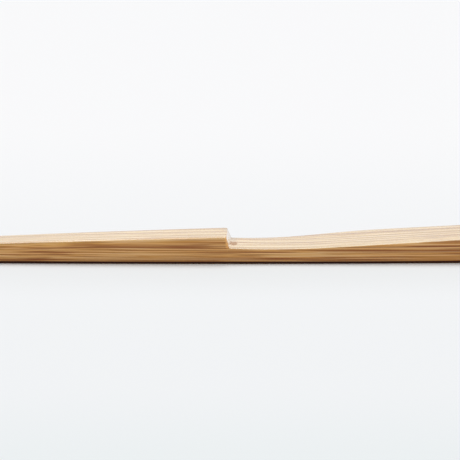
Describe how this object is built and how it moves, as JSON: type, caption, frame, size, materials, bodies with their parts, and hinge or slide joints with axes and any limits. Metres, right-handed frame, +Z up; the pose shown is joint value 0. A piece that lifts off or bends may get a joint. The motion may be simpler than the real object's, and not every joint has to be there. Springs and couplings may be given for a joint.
{
  "type": "bone folder",
  "caption": "Slim laminated bamboo folding and creasing tool with a tapered flat blade, a stepped finger rest and a wide rounded handle.",
  "frame": {"origin": "bottom centre of the tool's box, on the plane of the flat underside", "axes": "+X along the tool towards the handle's butt, with the blade's tip at -X; +Y towards the rear edge, where the handle flares; +Z up, out of the face that holds the finger rest"},
  "size_m": [0.18, 0.022, 0.005],
  "materials": {
    "bamboo": "fine-sanded and burnished, satin, honey brown with darker fibre streaks along the length",
    "cured_glue": "hard amber-brown wood glue, sanded flush"
  },
  "bodies": {
    "root": {"front_strip": "bamboo", "front_inner_strip": "bamboo", "centre_strip": "bamboo", "rear_inner_strip": "bamboo", "rear_strip": "bamboo", "glue_line_1": "cured_glue", "glue_line_2": "cured_glue", "glue_line_3": "cured_glue", "glue_line_4": "cured_glue"}
  },
  "joints": []
}
